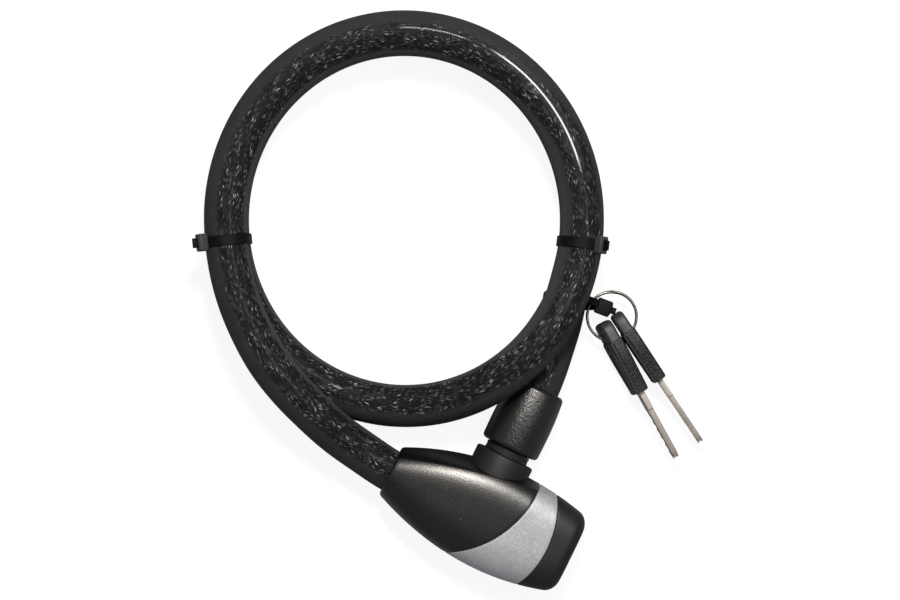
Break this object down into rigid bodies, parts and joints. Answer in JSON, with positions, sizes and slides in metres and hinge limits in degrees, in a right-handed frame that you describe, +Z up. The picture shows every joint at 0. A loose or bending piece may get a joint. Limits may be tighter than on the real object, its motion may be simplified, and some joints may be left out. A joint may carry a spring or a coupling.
{
  "type": "coiled cable lock",
  "caption": "Keyed cable lock: a tapered lock head, a coiled sheathed steel cable ending in a plug, cable ties and two keys on a split ring.",
  "frame": {"origin": "on the surface that the lock lies on, under the middle of the lock head's box (cable, plug, ties and keys left out)", "axes": "+X along the lock head from the cable mouth to the key end, +Y along the plug's axis away from the head, +Z up"},
  "size_m": [0.2669, 0.2297, 0.0463],
  "materials": {
    "black_shell": "satin black moulded plastic",
    "silver_paint": "sparkling silver paint on plastic",
    "die_cast": "raw zinc die casting",
    "steel": "machined steel",
    "steel_rope": "twisted steel wires",
    "nickel": "nickel plated",
    "brass": "machined brass",
    "rubber_seal": "matte rubber",
    "black_boot": "satin black moulded plastic",
    "cable_sheath": "smoky clear vinyl over a braided black core",
    "tie_nylon": "black nylon",
    "ring_wire": "nickel plated spring wire",
    "key_steel": "nickel plated, warm tint",
    "key_plastic": "textured black grip with a smooth grey end"
  },
  "bodies": {
    "lock_head": {"main_cover": "black_shell", "silver_band": "silver_paint", "end_cap": "black_shell", "socket_collar": "black_boot", "core_block": "die_cast", "cable_ferrule": "steel", "ferrule_pin": "steel", "head_strand": "steel_rope", "barrel": "nickel", "barrel_pin": "steel", "cable_lead": "cable_sheath"},
    "key_cylinder": {"cylinder_plug": "brass", "wafers": "brass", "crank": "steel", "retaining_clip": "steel"},
    "latch": {"latch_plate": "steel"},
    "cable_end": {"plug_pin": "steel", "plug_gasket": "rubber_seal", "plug_strand": "steel_rope", "plug_boot": "black_boot", "cable_coil": "cable_sheath", "tie_left": "tie_nylon", "tie_right": "tie_nylon", "key_tie": "tie_nylon"},
    "split_ring": {"key_ring": "ring_wire"},
    "key_a": {"key_a_blade": "key_steel", "key_a_grip": "key_plastic"},
    "key_b": {"key_b_blade": "key_steel", "key_b_grip": "key_plastic"}
  },
  "joints": [
    {"name": "key_turn", "type": "hinge", "parent": "lock_head", "child": "key_cylinder", "pos_m": [0.03, -0.003, 0.017], "axis": [1, 0, 0], "range_deg": [0, 90]},
    {"name": "latch_lift", "type": "slide", "parent": "lock_head", "child": "latch", "axis": [0, 0, 1], "range_m": [0, 0.00368]},
    {"name": "plug_release", "type": "slide", "parent": "lock_head", "child": "cable_end", "axis": [0, 1, 0], "range_m": [0, 0.026], "deforming": ["cable_lead"]},
    {"name": "ring_lift", "type": "hinge", "parent": "cable_end", "child": "split_ring", "pos_m": [0.0035, 0.1084, 0.011], "axis": [0, -1, 0], "range_deg": [0, 60]},
    {"name": "key_a_swing", "type": "hinge", "parent": "split_ring", "child": "key_a", "pos_m": [0.0152, 0.1084, 0.011], "axis": [0, 0, 1], "range_deg": [-14, 0]},
    {"name": "key_b_swing", "type": "hinge", "parent": "split_ring", "child": "key_b", "pos_m": [0.0152, 0.1084, 0.011], "axis": [0, 0, 1], "range_deg": [0, 30]}
  ],
  "couplings": [
    {"joint": "latch_lift", "follows": "key_turn", "m_per_rad": 0.0023408}
  ]
}
